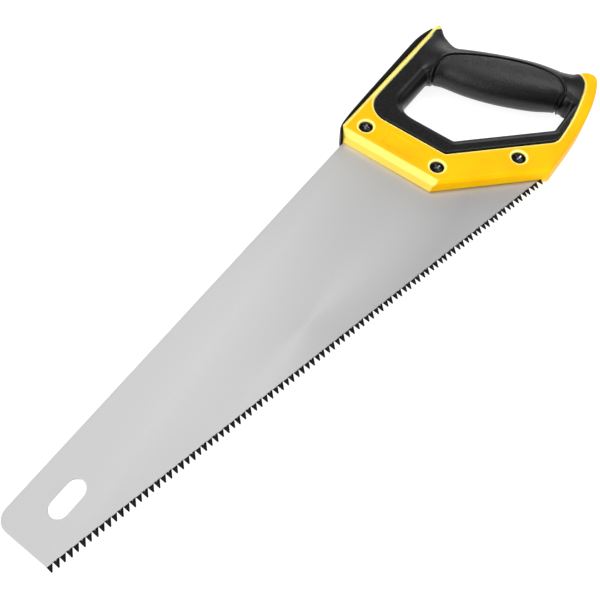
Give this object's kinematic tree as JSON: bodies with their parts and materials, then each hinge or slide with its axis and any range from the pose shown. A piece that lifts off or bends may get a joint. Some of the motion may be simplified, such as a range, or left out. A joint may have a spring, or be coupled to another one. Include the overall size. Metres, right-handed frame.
{
  "type": "hand saw",
  "caption": "Hand saw with a tapered steel blade, hardened teeth and a hang slot, and a closed plastic handle with rubber grip and edges at right and 45 degree angles to the blade's back.",
  "frame": {"origin": "middle of the bounding box in plan, at the height of the grip's lowest side", "axes": "+X along the blade's back from the toe to the handle, +Y away from the teeth, +Z square to the blade on the side of the screw heads"},
  "size_m": [0.4636, 0.1342, 0.027],
  "materials": {
    "blade_steel": "satin ground steel, teeth hardened black",
    "handle_plastic": "yellow moulded plastic, semi-gloss",
    "grip_rubber": "smooth black soft rubber",
    "sleeve_rubber": "fine-grained black soft rubber",
    "fastener_steel": "black oxide"
  },
  "bodies": {
    "root": {"blade": "blade_steel", "handle_core": "handle_plastic", "grip_overmould": "grip_rubber", "grip_sleeve": "sleeve_rubber", "spine_bumper": "grip_rubber", "handle_screw_1": "fastener_steel", "handle_screw_2": "fastener_steel", "handle_screw_3": "fastener_steel", "sleeve_nut_1": "fastener_steel", "sleeve_nut_2": "fastener_steel", "sleeve_nut_3": "fastener_steel"}
  },
  "joints": []
}
